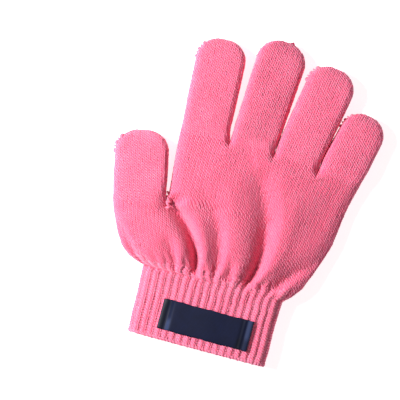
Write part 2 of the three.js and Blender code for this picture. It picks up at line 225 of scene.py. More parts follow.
def flattened_tube(width, height, lift=0.0, shoulder_at=SHOULDER_AT, edge_reach=EDGE_REACH):
    """The upper and lower half of a tube's section, both from the left side to the right side."""
    reach = min(edge_reach * height, EDGE_LIMIT * width)
    widest = WIDEST_AT * height
    shoulder = shoulder_at * height
    quarter = np.linspace(0, math.pi / 2, 16)
    sides = [np.column_stack([reach * (1 - np.cos(quarter)), widest + rise * np.sin(quarter)])
             for rise in (shoulder - widest, -widest)]
    share = np.linspace(-1, 1, 40)[1:-1]
    crown = np.column_stack([width / 2 + share * (width / 2 - reach),
                             height - (height - shoulder) * share**2])
    upper, lower = ([side, [width, 0] + side[::-1] * [-1, 1]] for side in sides)
    over = np.vstack([upper[0], crown, upper[1]])
    loop = evenly(np.vstack([over, np.vstack(lower)[::-1][1:]]), SECTION_POINTS)[:-1]
    step = running_length(loop)[-1] / (SECTION_POINTS - 1)
    nearby = np.arange(-SECTION_POINTS // 6, SECTION_POINTS // 6 + 1)
    weights = np.exp(-0.5 * (nearby * step / (SOFTENING * min(1, height / THICK)))**2)
    softened = sum(w * np.roll(loop, k, axis=0) for w, k in zip(weights, nearby)) / weights.sum()
    softened[:, 1] -= softened[:, 1].min()
    left, right = softened[:, 0].argmin(), softened[:, 0].argmax()
    softened = np.roll(softened, -left, axis=0)
    right = (right - left) % len(softened)
    over = softened[:right + 1]
    under = np.vstack([softened[right:], softened[:1]])[::-1]
    return over + [0, lift], under + [0, lift]


# The relief of the knit

def bezier(fold, count=24):
    t = np.linspace(0, 1, count)[:, None]
    start, bend, end = fold[0:2], fold[2:4], fold[4:6]
    return (1 - t)**2 * start + 2 * t * (1 - t) * bend + t**2 * end


def beside_line(x, y, line):
    """For places in plan: how far from a line, how far to its right, and the share of the line there."""
    nearest = np.hypot(x[..., None] - line[:, 0], y[..., None] - line[:, 1]).argmin(axis=-1)
    tangent = unit(np.gradient(line, axis=0))[nearest]
    dx, dy = x - line[nearest, 0], y - line[nearest, 1]
    return np.hypot(dx, dy), dx * tangent[..., 1] - dy * tangent[..., 0], nearest / (len(line) - 1)


def valley_depth(fold, x, y):
    distance, to_right, share = beside_line(x, y, bezier(fold))
    depth = fold[6] + (fold[9] - fold[6]) * share**FOLD_FADE
    left, right = (fold[k] + (fold[k + 3] - fold[k]) * share for k in (7, 8))
    valley = np.where(to_right < 0, np.exp(-(distance / left)**FOLD_SIDES[0]),
                      np.exp(-(distance / right)**FOLD_SIDES[1]))
    ridge = FOLD_RIDGE * bell(distance / right - 2.1) * (to_right > 0)
    return depth * (valley - ridge)


def fold_depth(x, y):
    """Depth of the gathers at places in plan."""
    gathers = sum(valley_depth(fold, x, y) for fold in FOLDS)
    fall = PALM_FALL * smoothstep(*PALM_FALL_X, x) * smoothstep(*PALM_FALL_Y, y)
    groove = valley_depth(HEEL_GROOVE, x, y) * smoothstep(*GROOVE_START, y)
    return (gathers + fall) * smoothstep(*FOLDS_START, y) + groove


def join_rise(x, y):
    """The ridge where the fingers join the palm."""
    distance = beside_line(x, y, evenly(FINGER_JOIN, 80))[0]
    return FINGER_JOIN_RISE * bell(distance, FINGER_JOIN_WIDTH)


def crotch_depth(x, y, crotches):
    depth = np.zeros_like(x)
    for crotch_x, crotch_y in crotches:
        across = bell(x - crotch_x, CROTCH_VALLEY["half_width"])
        down = bell(np.maximum(0, crotch_y - y), CROTCH_VALLEY["reach"])
        depth = np.maximum(depth, CROTCH_VALLEY["depth"] * across * down)
    return depth


def ripple(x, y):
    """The slight unevenness of cloth that has been worn and laid flat: three low waves."""
    return (0.16 * np.sin(x / 5.1 + 1.3) * np.sin(y / 8.3 + 0.4)
            + 0.12 * np.sin(x / 3.1 - y / 6.7) + 0.1 * np.sin(x / 9.0 + y / 4.3 + 2.0))


# The ribs run out of the cuff into the palm, each to its own height

def rib_extra(rib):
    """How many courses a rib runs on into the palm, as if by chance."""
    return np.round(RIB_EXTRA[0] + RIB_EXTRA[1] * np.sin(rib * 2.4) * np.sin(rib * 0.9 + 1))


def rib_wave(around, y):
    """Height of the ribs at a share of the way round, at a distance from the cuff's mouth."""
    turn = around * RIBS
    end = CUFF_LENGTH + RIB_RUN_ON + rib_extra(np.floor(turn)) * COURSE
    at_mouth = RIB_MOUTH_DEPTH + (1 - RIB_MOUTH_DEPTH) * smoothstep(*RIB_MOUTH, y)
    fade = (1 - smoothstep(end, end + RIB_FADE, y)) * at_mouth
    crest = np.abs(np.sin(math.pi * turn))**RIB_CREST
    roll = EDGE_ROLL * bell(y - EDGE_ROLL_AT)
    return RIB_DEPTH * fade * (2 * crest - 1.1) + roll


def with_ribs(half, upper):
    """Raises the ribs on one half of a row."""
    along = running_length(half)
    share = along / along[-1] / 2
    wave = rib_wave(share if upper else 1 - share, half[:, 1])
    tangent = unit(np.gradient(half[:, [0, 2]], axis=0))
    out = np.column_stack([-tangent[:, 1], np.zeros(len(half)), tangent[:, 0]])
    return half + out * (wave if upper else -wave)[:, None]


# A row is the upper and the lower half of the glove's section, both from left to right

def raise_on_dots(z, height):
    return DOT_HEIGHT + z * (1 - DOT_HEIGHT / height)


def palm_row(values, crotches=()):
    left_x, left_y, middle_y, right_x, right_y, height = values
    width = right_x - left_x
    halves = []
    for upper, half in zip((True, False), flattened_tube(width, height)):
        t = half[:, 0] / width
        x = left_x + half[:, 0]
        y = left_y * (1 - t) * (1 - 2 * t) + 4 * middle_y * t * (1 - t) + right_y * t * (2 * t - 1)
        z = half[:, 1]
        if upper:
            depth = np.maximum(fold_depth(x, y), crotch_depth(x, y, crotches))
            z = z - smoothstep(*PALM_TOP, z / height) * (depth + ripple(x, y) - join_rise(x, y))
        halves.append(with_ribs(np.column_stack([x, y, raise_on_dots(z, height)]), upper))
    return halves


def cuff_row(values):
    y, middle_x, width, height = values
    return palm_row([middle_x - width / 2, y, y, middle_x + width / 2, y, height])


def finger_row(finger, along, half_width, height, lift):
    x, y, lean = finger[0], finger[1], math.radians(finger[2])
    halves = []
    section = flattened_tube(2 * half_width, height, lift, FINGER_SHOULDER_AT, FINGER_EDGE_REACH)
    for upper, half in zip((True, False), section):
        across = half[:, 0] - half_width
        px = x + along * math.sin(lean) + across * math.cos(lean)
        py = y + along * math.cos(lean) - across * math.sin(lean)
        z = half[:, 1]
        if upper:
            roll = finger[7] * across / (2 * half_width)
            relief = FINGER_RIPPLE * ripple(px, py) - join_rise(px, py) + roll
            z = z - smoothstep(*FINGER_TOP, (z - lift) / height) * relief
        halves.append(np.column_stack([px, py, raise_on_dots(z, height + lift)]))
    return halves


def rows_between(table):
    """Palm rows at every course between the table's ends."""
    middles = table[:, 2]
    count = round((middles[-1] - middles[0]) / COURSE)
    return hermite(middles, table, np.linspace(middles[0], middles[-1], count + 1))


# A strip is a run of rows with the places of its wales: shares of each half row's length

def knotted_shares(line, wales, cuts):
    """Wales at even steps between the cuts, each at its share of the row's width."""
    rising = np.maximum.accumulate(width_share(line)) + 1e-9 * np.arange(len(line))
    along = running_length(line)
    marks = [0, *(np.interp(share, rising, along / along[-1]) for _, share in cuts), 1]
    return np.interp(np.arange(wales + 1), [0, *(wale for wale, _ in cuts), wales], marks)


def cut_strip(row, shares, first, last, web):
    """One branch's part of a row, from wale first to wale last, with the webs in its crotches."""
    ends = [at_shares(half, share[[first, last]]) for half, share in zip(row, shares)]
    middles = (ends[0] + ends[1]) / 2
    halves, new_shares = [], []
    for half, share, end in zip(row, shares, ends):
        along = running_length(half)
        places = share * along[-1]
        line = [end[:1], half[(along > places[first]) & (along < places[last])], end[1:]]
        marks = places[first:last + 1] - places[first]
        walls = [np.linspace(0, math.dist(*pair), web + 1) for pair in zip(end, middles)]
        if first > 0:
            line.insert(0, np.linspace(middles[0], end[0], 7)[:-1])
            marks = np.concatenate([walls[0][:-1], marks + walls[0][-1]])
        if last < len(share) - 1:
            line.append(np.linspace(end[1], middles[1], 7)[1:])
            marks = np.concatenate([marks, marks[-1] + walls[1][1:]])
        halves.append(np.vstack(line))
        new_shares.append(marks / marks[-1])
    return halves, new_shares


def blend_rows(start_row, shift, row, weight):
    """A row between the moved row that a branch starts from and its own."""
    if weight >= 1:
        return row
    moved = [evenly(half, 150) + np.append(shift, 0) for half in start_row]
    return [a * (1 - weight) + evenly(b, 150) * weight for a, b in zip(moved, row)]


def all_round(over, under):
    """A lattice all the way round: the upper half from the left, then the lower half back."""
    return np.concatenate([over[:, :-1], under[:, :0:-1]], axis=1)


class Strip:
    """Rows of one part of the glove, and where its wales run."""

    def __init__(self, rows, shares, start_shares, weights):
        self.rows = rows
        self.shares = [[(1 - w) * a + w * b for a, b in zip(start_shares, target)]
                       for w, target in zip(weights, shares)]
        self.wales = len(start_shares[0]) - 1

    def grid(self, upper, steps=1):
        """Points of one half, steps to a wale."""
        k = 0 if upper else 1
        wanted = np.linspace(0, self.wales, self.wales * steps + 1)
        return np.array([at_shares(row[k], np.interp(wanted, np.arange(self.wales + 1), shares[k]))
                         for row, shares in zip(self.rows, self.shares)])

    def round_grid(self, steps=1):
        return all_round(self.grid(True, steps), self.grid(False, steps))

    def cut(self, first, last, web):
        return cut_strip(self.rows[-1], self.shares[-1], first, last, web)


def finger_strip(finger, heights, root_row, root_shares):
    """A finger's strip, its tip's rows and the tip's end."""
    length, root, middle, end = finger[3:7]
    straight = length - TIP_LENGTH
    lean = math.radians(finger[2])
    direction = np.array([math.sin(lean), math.cos(lean)])
    rows = []
    stations = np.linspace(0, straight, round(straight / COURSE) + 1)
    for along in stations:
        t = along / straight
        half_width = np.interp(t, [0, 0.5, 1], [root, middle, end])
        height = heights[0] + t * (heights[1] - heights[0])
        row = finger_row(finger, along, half_width, height, 0)
        rows.append(blend_rows(root_row, direction * along, row, smoothstep(0, ROOT_BLEND, along)))
    even = [np.linspace(0, 1, len(root_shares[0]))] * 2
    strip = Strip(rows, [even] * len(rows), root_shares, smoothstep(0, EVEN_BLEND, stations))
    t = np.linspace(0, 1, 400)
    profile = np.column_stack([t * TIP_LENGTH, heights[1] * np.sqrt(1 - t**TIP_THINNING) / 2])
    lengths = running_length(profile)
    wanted = np.linspace(0, lengths[-1], round(lengths[-1] / COURSE) + 1)[:-1]
    tip_rows = []
    for share in np.append(np.interp(wanted, lengths, t), TIP_CLOSED):
        narrow = (1 - share**TIP_ROUNDNESS)**(1 / TIP_ROUNDNESS)
        thin = math.sqrt(1 - share**TIP_THINNING)
        lift = WIDEST_AT * heights[1] * (1 - thin)
        tip_rows.append(finger_row(finger, straight + share * TIP_LENGTH, end * narrow,
                                   heights[1] * thin, lift))
    tip_z = raise_on_dots(WIDEST_AT * heights[1], heights[1])
    return strip, tip_rows, [*(finger[:2] + direction * length), tip_z]


# Meshes

def place(points):
    return (np.asarray(points) + DRAWING_ORIGIN) * MM


def lattice_quads(rows, columns, closed=False):
    """Quads between the points of a lattice; a closed one goes round."""
    quads = []
    for j in range(rows - 1):
        for i in range(columns if closed else columns - 1):
            a, b = j * columns + i, j * columns + (i + 1) % columns
            quads.append([a, b, b + columns, a + columns])
    return quads


def two_skins(faces, rims, count):
    """An outer skin's faces, the same on the inner skin of as many points, and walls along the rims."""
    both = list(faces) + [[k + count for k in face[::-1]] for face in faces]
    for rim in rims:
        both += [[b, a, a + count, b + count] for a, b in zip(rim, rim[1:] + rim[:1])]
    return both


def new_object(name, data):
    thing = bpy.data.objects.new(name, data)
    bpy.context.scene.collection.objects.link(thing)
    return thing


def new_piece(name, points, faces, slot, material):
    points = np.reshape(points, (-1, 3))
    points = np.column_stack([points[:, :2], np.maximum(points[:, 2], 0)])
    mesh = bpy.data.meshes.new(name)
    mesh.from_pydata(place(points), [], faces)
    mesh.validate()
    piece = new_object(name, mesh)
    mesh.materials.append(material)
    mesh.polygons.foreach_set("use_smooth", np.ones(len(mesh.polygons), bool))
    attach(piece, "root")
    return piece


def name_values(piece, name, values):
    """Gives each point of a piece a value that its material can read."""
    attribute = piece.data.attributes.new(name, "FLOAT", "POINT")
    attribute.data.foreach_set("value", values.astype(np.float32))


def grid_normals(grid, closed=False):
    """Outward unit normals of a lattice whose second index runs to the right, seen from outside."""
    across = np.roll(grid, -1, axis=1) - np.roll(grid, 1, axis=1) if closed else np.gradient(grid, axis=1)
    return unit(np.cross(across, np.gradient(grid, axis=0)))


class Body:
    """A closed skin that branches: rings of points joined by bands, then given a wall."""

    def __init__(self):
        self.points = []
        self.faces = []

    def add(self, points):
        first = len(self.points)
        self.points.extend(np.asarray(points, float))
        return list(range(first, len(self.points)))

    def ring(self, over, under):
        top = self.add(over)
        return top, [top[0], *self.add(under[1:-1]), top[-1]]

    def band(self, first, second):
        """Quads from one ring to the next, or triangles to a ring that is one point."""
        for a, b, turn in ((first[0], second[0], 1), (first[1], second[1], -1)):
            for k in range(len(a) - 1):
                self.faces.append([a[k], a[k + 1], *(b[k:k + 2][::-1] if len(b) > 1 else b)][::turn])

    def run(self, ring, over, under):
        """Bands from a ring along the rows of two half grids."""
        for row_over, row_under in zip(over, under):
            following = self.ring(row_over, row_under)
            if ring:
                self.band(ring, following)
            else:
                self.rim = following
            ring = following
        return ring

    def split(self, ring, cuts, webs):
        """Parts a ring into one for each branch; neighbours share the web in their crotch."""
        marks = [0, *cuts, len(ring[0]) - 1]
        walls = []
        for cut in cuts:
            top, bottom = self.points[ring[0][cut]], self.points[ring[1][cut]]
            middle = (top + bottom) / 2
            shared = self.add([middle])
            walls.append([self.add(np.linspace(end, middle, webs + 1)[1:-1]) + shared
                          for end in (top, bottom)])
        branches = []
        for k in range(len(marks) - 1):
            halves = [half[marks[k]:marks[k + 1] + 1] for half in ring]
            if k > 0:
                halves = [wall[::-1] + half for wall, half in zip(walls[k - 1], halves)]
            if k < len(cuts):
                halves = [half + wall for wall, half in zip(walls[k], halves)]
            branches.append(halves)
        return branches

    def normals(self):
        points = np.array(self.points)
        normals = np.zeros_like(points)
        for face in self.faces:
            corners = points[face]
            normals[face] += np.cross(corners[2] - corners[0], corners[-1] - corners[1])
        return unit(normals)

    def with_wall(self, wall, inset):
        """Points and faces of the skin, moved in and given a wall that is open at the rim."""
        normals = self.normals()
        points = np.array(self.points)
        outer = points - inset * normals
        inner = outer - wall * normals
        loop = self.rim[0] + self.rim[1][-2:0:-1]
        inner[loop, 1] = outer[loop, 1] = points[loop, 1]
        return np.vstack([outer, inner]), two_skins(self.faces, [loop], len(outer))


# A stitch is a loop whose two legs show. The yarn is lively, so the left leg lies across the stitch and
# the right one stands almost upright beside it. Columns of a leg: across and up, as shares of the
# stitch's width and height, then shares of the leg's width and of its rise.

LEFT_LEG = [[0.88, -0.20, 0.35, -0.25], [0.72, 0.10, 0.9, 0.72], [0.47, 0.45, 1.0, 1.0],
            [0.20, 0.82, 0.95, 0.85], [0.00, 1.10, 0.4, -0.25]]
RIGHT_LEG = [[0.86, -0.36, 0.35, -0.25], [0.90, 0.0, 0.9, 0.7], [0.93, 0.42, 1.0, 1.0],
             [0.95, 0.84, 0.95, 0.85], [0.97, 1.22, 0.4, -0.25]]
EDGE_LEG = [[-0.25, 0.95, 0.4, -0.2], [0.1, 0.75, 1.0, 0.8], [0.5, 0.5, 1.1, 1.0],
            [0.9, 0.25, 1.0, 0.8], [1.25, 0.05, 0.4, -0.2]]
PURL_LEG = [[-0.2, 0.5, 0.4, -0.2], [0.1, 0.62, 0.9, 0.8], [0.5, 0.7, 1.0, 1.0],
            [0.9, 0.62, 0.9, 0.8], [1.2, 0.5, 0.4, -0.2]]
LEG_ANGLES = np.radians([0, 60, 120, 180])
LEG_POINTS = len(LEFT_LEG) * len(LEG_ANGLES)
LEG_FACES = np.array(lattice_quads(len(LEFT_LEG), len(LEG_ANGLES)))[:, [1, 0, 3, 2]]  # turned over
YARN_WANDER = 0.055  # legs lie this far off their places
NARROWEST_CELL = 0.3 * WALE  # a narrower one gets no stitch


def leg(path, width, rise, cell=(WALE, COURSE)):
    """Points of a leg: shares of the cell's width and height, and millimetres out of the body."""
    path = np.array(path)
    plan = path[:, :2] * cell
    points = []
    for spot, direction, share in zip(plan, unit(np.gradient(plan, axis=0)), path[:, 2:]):
        to_right = np.array([direction[1], -direction[0]])
        for angle in LEG_ANGLES:
            x, y = spot + to_right * width * share[0] / 2 * math.cos(angle)
            out = rise * share[1] * (math.sin(angle) if share[1] > 0 else 1)
            points.append((x / cell[0], y / cell[1], out))
    return points


def cell_corners(grid):
    """The corners of all cells of a lattice: lower left and right, upper left and right."""
    return [part.reshape(-1, 3) for part in (grid[:-1, :-1], grid[:-1, 1:], grid[1:, :-1], grid[1:, 1:])]


def blend_corners(u, v, corners):
    """Places in every cell, at shares u to the right and v up."""
    weights = [(1 - u) * (1 - v), u * (1 - v), (1 - u) * v, u * v]
    return sum(w[None, :, None] * corner[:, None] for w, corner in zip(weights, corners))


JERSEY = np.array(leg(LEFT_LEG, 0.68, 0.52) + leg(RIGHT_LEG, 0.44, 0.38))
FINGER_JERSEY = np.array(leg(LEFT_LEG, 0.76, 0.35) + leg(RIGHT_LEG, 0.6, 0.3))
RIB_CELL = (3.0, COURSE)
RIB = np.array(leg(LEFT_LEG, 1.08, 0.62, RIB_CELL) + leg(RIGHT_LEG, 0.8, 0.5, RIB_CELL))
PURL = np.array(leg(PURL_LEG, 1.9, 0.4, (1.2, COURSE)))
CAST_ON = np.array(leg(EDGE_LEG, 1.4, 0.9))
KNOT = np.array(leg(EDGE_LEG, 1.2, 1.0))


class Stitches:
    """Legs of yarn gathered from lattices and made one piece."""

    def __init__(self):
        self.legs = []

    def add(self, corners, normals, template):
        """One stitch for each cell, given by its corners and the normals there."""
        u, v, out = template.T
        normal = blend_corners(np.clip(u, 0, 1), np.clip(v, 0, 1), normals)
        points = blend_corners(u, v, corners) + normal * out[None, :, None]
        self.legs.append(points.reshape(-1, LEG_POINTS, 3))

    def add_lattice(self, grid, normals, template, keep=True):
        """Each cell of a lattice is one stitch; the grid's second index runs to the right."""
        cells = cell_corners(grid - BODY_INSET * normals)
        wide = np.linalg.norm(cells[1] + cells[3] - cells[0] - cells[2], axis=1) / 2
        fits = (wide > NARROWEST_CELL) & np.broadcast_to(np.ravel(keep), wide.shape)
        self.add([c[fits] for c in cells], [n[fits] for n in cell_corners(normals)], template)

    def add_column(self, grid, normals, first, last, template):
        """One stitch a course on a fine lattice, between two of its columns, following its surface."""
        u, v, out = template.T
        courses = np.arange(len(grid) - 1)[:, None]
        row = np.clip(courses + v, 0, len(grid) - 1.001)
        beyond = (courses + v - row)[..., None]
        column = first + u * (last - first)
        j, i = row.astype(int), np.broadcast_to(np.floor(column).astype(int), row.shape)
        t, w = (row - j)[..., None], (column - np.floor(column))[None, :, None]
        wrap = grid.shape[1]

        def sample(field):
            low = field[j, i % wrap] * (1 - w) + field[j, (i + 1) % wrap] * w
            high = field[j + 1, i % wrap] * (1 - w) + field[j + 1, (i + 1) % wrap] * w
            return low * (1 - t) + high * t, high - low

        spots, along = sample(grid)
        outward = sample(normals)[0]
        points = spots + beyond * along + (out[None, :, None] - BODY_INSET) * outward
        self.legs.append(points.reshape(-1, LEG_POINTS, 3))

    def add_round(self, grid, template, keep=True, normals=None):
        if normals is None:
            normals = grid_normals(grid, closed=True)
        wrap = [np.concatenate([a, a[:, :1]], axis=1) for a in (grid, normals)]
        self.add_lattice(wrap[0], wrap[1], template, keep)

    def make(self, name, slot="pink_knit"):
        legs = np.concatenate(self.legs)
        random = np.random.default_rng(len(name))
        legs += random.normal(0, YARN_WANDER, (len(legs), 1, 3))
        offsets = (np.arange(len(legs)) * LEG_POINTS)[:, None, None]
        faces = (LEG_FACES[None] + offsets).reshape(-1, 4)
        piece = new_piece(name, legs, faces, slot, yarn)
        tint = np.repeat(random.normal(0, 1, (len(legs) + 1) // 2), 2)
        name_values(piece, "tint", np.repeat(tint[:len(legs)], LEG_POINTS))


def tip_lattice(rows, wales, fine=60):
    """Over a rounded tip the wales run on at their own pitch, and end where the tip's edge cuts them."""
    sides = [np.array([evenly(row[k], fine) for row in rows]) for k in (0, 1)]
    around = grid_normals(all_round(*sides), closed=True)
    outward = [around[:, :fine + 1], around[:, -np.arange(fine + 1)]]
    halves = []
    for k in (0, 1):
        pitch = running_length(rows[0][k])[-1] / wales
        points, normals, keep = [], [], []
        for row, row_normals in zip(rows, outward[k]):
            total = running_length(row[k])[-1]
            wanted = total / 2 + (np.arange(wales + 1) - wales / 2) * pitch
            places = np.clip(wanted, 0, total)
            points.append(at_lengths(row[k], places))
            normals.append(np.column_stack([np.interp(places / total * fine, np.arange(fine + 1), part)
                                            for part in row_normals.T]))
            middles = (wanted[:-1] + wanted[1:]) / 2
            keep.append((middles > -0.1 * pitch) & (middles < total + 0.1 * pitch))
        halves.append([np.array(points), np.array(normals), np.array(keep)[:-1]])
    grid, normals = (all_round(halves[0][k], halves[1][k]) for k in (0, 1))
    return grid, normals, np.concatenate([halves[0][2], halves[1][2][:, ::-1]], axis=1)


# Materials

WEFT_PITCH = 0.34  # of the label's weave


def linear(hex_colour):
    """An sRGB colour such as #f4668f as linear values with alpha."""
    values = [int(hex_colour[k:k + 2], 16) / 255 for k in (1, 3, 5)]
    return [v / 12.92 if v <= 0.04045 else ((v + 0.055) / 1.055)**2.4 for v in values] + [1.0]


def add_node(tree, kind, settings=None, values=None, links=None):
    """Adds a node, sets its settings and input values, and links inputs to other nodes' outputs."""
    node = tree.nodes.new(kind)
    for key, value in (settings or {}).items():
        setattr(node, key, value)
    for key, value in (values or {}).items():
        node.inputs[key].default_value = value
    for key, source in (links or {}).items():
        tree.links.new(source, node.inputs[key])
    return node


class Look:
    """A material on its shader, with the nodes that most of the looks share. Sizes in millimetres."""

    def __init__(self, name):
        self.material = bpy.data.materials.new(name)
        self.material.use_nodes = True
        self.tree = self.material.node_tree
        self.tree.nodes.clear()
        self.shader = self.node("BsdfPrincipled")
        self.node("OutputMaterial", links={"Surface": self.shader.outputs[0]})
        self.where = self.node("TexCoord").outputs["Object"]

    def node(self, kind, settings=None, values=None, links=None):
        return add_node(self.tree, "ShaderNode" + kind, settings, values, links)

    def noise(self, size, detail=2.0):
        return self.node("TexNoise", None, {"Scale": 1 / (size * MM), "Detail": detail},
                         {"Vector": self.where}).outputs["Fac"]

    def point_value(self, name):
        return self.node("Attribute", {"attribute_name": name}).outputs["Fac"]

    def math(self, operation, values=None, links=None):
        return self.node("Math", {"operation": operation}, values, links).outputs[0]

    def mix(self, share, first, second):
        """A blend of two colours; the first may be the output of another blend."""
        node = self.node("Mix", {"data_type": "RGBA"}, {7: linear(second)}, {0: share})
        if isinstance(first, str):
            node.inputs[6].default_value = linear(first)
        else:
            self.tree.links.new(first, node.inputs[6])
        return node.outputs[2]

    def bump(self, height, strength, distance):
        node = self.node("Bump", None, {"Strength": strength, "Distance": distance * MM}, {"Height": height})
        self.tree.links.new(node.outputs[0], self.shader.inputs["Normal"])

    def finish(self, colour, values):
        """Links the colour and sets what is the same all over on the shader's own sockets."""
        self.tree.links.new(colour, self.shader.inputs["Base Color"])
        for key, value in values.items():
            self.shader.inputs[key].default_value = value
        return self.material


def acrylic_yarn():
    """Soft-spun acrylic yarn: matt, with a bloom of fine fibres that lightens slopes."""
    look = Look("acrylic_knit_yarn")
    uneven = look.math("MULTIPLY_ADD", {1: 0.09}, {0: look.point_value("tint"), 2: look.noise(9, 3.0)})
    look.bump(look.noise(0.35, 3.0), 0.35, 0.12)
    return look.finish(look.mix(uneven, "#ee6e8c", "#f383a0"), {
        "Roughness": 0.85, "Specular IOR Level": 0.25,
        "Sheen Weight": 0.8, "Sheen Roughness": 0.45, "Sheen Tint": linear("#ffd2e0"),
        "Subsurface Weight": 0.3, "Subsurface Radius": (1.0, 0.25, 0.35), "Subsurface Scale": 1.2 * MM})


def knit_painted_shade():
    """The same yarn with painted shade, darker and redder as it looks deep between the stitches, where light
    has bounced off pink many times.
    """
    look = Look("acrylic_knit_painted_shade")
    lumps_of_yarn = look.noise(1.5)
    look.bump(lumps_of_yarn, 0.4, 0.2)
    return look.finish(look.mix(lumps_of_yarn, "#e35075", "#eb6083"),
                       {"Roughness": 0.9, "Specular IOR Level": 0.2})


def floor_paper():
    """Matt white backdrop paper."""
    look = Look("backdrop_paper")
    return look.finish(look.mix(look.noise(2), "#f6f6f6", "#fafafa"), {
        "Roughness": 1.0, "Specular IOR Level": 0.0,
        "Emission Color": (1, 1, 1, 1), "Emission Strength": 0.72})


def satin_tape():
    """Navy polyester tape woven in satin: fine lines along it, and a painted highlight and painted shade near
    its folded ends.
    """
    look = Look("woven_satin_tape")
    weft = look.node("TexWave", {"wave_type": "BANDS", "bands_direction": "Y"},
                     {"Scale": math.pi / (20 * WEFT_PITCH * MM), "Distortion": 0.6, "Detail": 1.0},
                     {"Vector": look.where}).outputs["Fac"]
    # The point value band carries painted light at the folded ends: above zero it mixes in a painted
    # highlight, below zero painted shade.
    band = look.point_value("band")
    woven = look.mix(look.math("MULTIPLY", links={0: weft, 1: look.noise(4, 3.0)}), "#070c24", "#131c42")
    with_painted_highlight = look.mix(band, woven, "#48557f")
    look.bump(weft, 0.25, 0.08)
    return look.finish(look.mix(look.math("MULTIPLY", {1: -1.0}, {0: band}), with_painted_highlight, "#05070f"),
                       {"Roughness": 0.55, "Specular IOR Level": 0.25})


def grip_dot_vinyl():
    """Black soft vinyl, printed as drops: glossy, with a slight unevenness."""
    look = Look("black_grip_vinyl")
    cloud = look.noise(1.2)
    look.bump(cloud, 0.2, 0.1)
    return look.finish(look.mix(cloud, "#121318", "#22252c"),
                       {"Roughness": 0.28, "Specular IOR Level": 0.55})


yarn = acrylic_yarn()
# The yarn with painted shade, darker and redder, for the bodies that show between the stitches.
depth = knit_painted_shade()
tape = satin_tape()
grip = grip_dot_vinyl()


# The hand's rows

last_row = palm_row(KNUCKLE_ROWS[-1])[0]
CROTCHES = [last_row[abs(width_share(last_row) - share).argmin(), :2] for _, share in FINGER_CUTS]

wrist_rows = [palm_row(values) for values in rows_between(WRIST_ROWS)]
wrist = Strip(
    wrist_rows,
    [[knotted_shares(half, WRIST_WALES, [THUMB_CUT]) for half in row] for row in wrist_rows],
    [np.linspace(0, 1, WRIST_WALES + 1)] * 2,
    np.linspace(0, 1, len(wrist_rows)),
)

thumb_row, thumb_shares = wrist.cut(0, THUMB_CUT[0], THUMB_WEB)
palm_start, palm_shares = wrist.cut(THUMB_CUT[0], WRIST_WALES, THUMB_WEB)
knuckle_rows = []
for values in rows_between(KNUCKLE_ROWS):
    along = values[2] - KNUCKLE_ROWS[0][2]
    row = palm_row(values, CROTCHES)
    knuckle_rows.append(blend_rows(palm_start, [0, along], row, smoothstep(0, ROOT_BLEND, along)))
knuckles = Strip(
    knuckle_rows,
    [[knotted_shares(half, KNUCKLE_WALES, FINGER_CUTS) for half in row] for row in knuckle_rows],
    palm_shares,
    smoothstep(0, 1, np.linspace(0, 1, len(knuckle_rows))),
)

branches = {"thumb": finger_strip(THUMB, THUMB_HEIGHTS, thumb_row, thumb_shares)}
marks = [0, *(wale for wale, _ in FINGER_CUTS), KNUCKLE_WALES]
for k, (name, finger) in enumerate(FINGERS.items()):
    row, shares = knuckles.cut(marks[k], marks[k + 1], FINGER_WEB)
    branches[name] = finger_strip(finger, FINGER_HEIGHTS, row, shares)


# The body of the hand, one closed skin with a wall

BODY_STEPS = 2  # the body's columns to a wale


def hand_body():
    """Rings from the wrist to the roots, then along each branch to its tip."""
    body = Body()

    def branch(ring, strip, tip_rows, tip):
        ring = body.run(ring, strip.grid(True, BODY_STEPS)[1:], strip.grid(False, BODY_STEPS)[1:])
        count = strip.wales * BODY_STEPS
        over, under = (np.array([evenly(row[k], count) for row in tip_rows[1:-1]]) for k in (0, 1))
        ring = body.run(ring, over, under)
        body.band(ring, [body.add([tip])] * 2)

    ring = body.run(None, wrist.grid(True, BODY_STEPS), wrist.grid(False, BODY_STEPS))
    thumb, palm = body.split(ring, [THUMB_CUT[0] * BODY_STEPS], THUMB_WEB * BODY_STEPS)
    branch(thumb, *branches["thumb"])
    ring = body.run(palm, knuckles.grid(True, BODY_STEPS)[1:], knuckles.grid(False, BODY_STEPS)[1:])
    roots = body.split(ring, [mark * BODY_STEPS for mark in marks[1:-1]], FINGER_WEB * BODY_STEPS)
    for name, ring in zip(FINGERS, roots):
        branch(ring, *branches[name])
    # Its material is the yarn with painted shade, which shows in the gaps between the stitches.
    piece = new_piece("hand_body", *body.with_wall(KNIT_WALL, BODY_INSET), "pink_knit", depth)
    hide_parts("knit_hand")


hand_body()


# The hand's stitches

RIB_STEPS = 9  # columns of a fine lattice to a rib
KNIT_COLUMN = (0.7, RIB_STEPS - 0.9)  # where a rib's knit column lies on it
WALES_PER_RIB = 2 * WRIST_WALES // RIBS


def add_ribs(stitches, grid, counts):
    """Each rib for its own number of courses: a knit column and the bumps of the groove on its left."""
    normals = grid_normals(grid, closed=True)
    for rib, count in enumerate(counts):
        first = rib * RIB_STEPS
        shorter = min(count, counts[rib - 1])
        for rows, (start, end), template in ((count, KNIT_COLUMN, RIB), (shorter, (-1.0, 1.0), PURL)):
            part = slice(0, rows + 1)
            stitches.add_column(grid[part], normals[part], first + start, first + end, template)


rib_counts = rib_extra(np.arange(RIBS)).astype(int) + 1
first_course = np.repeat(rib_counts, WALES_PER_RIB)
wrist_stitches = Stitches()
add_ribs(wrist_stitches, wrist.round_grid(RIB_STEPS // WALES_PER_RIB), rib_counts)
wrist_grid = wrist.round_grid()
wrist_stitches.add_round(wrist_grid, JERSEY, np.arange(len(wrist_grid) - 1)[:, None] >= first_course[None])
wrist_stitches.make("wrist_stitches")

knuckle_stitches = Stitches()
knuckle_stitches.add_round(knuckles.round_grid(), JERSEY)
knuckle_stitches.make("knuckle_stitches")


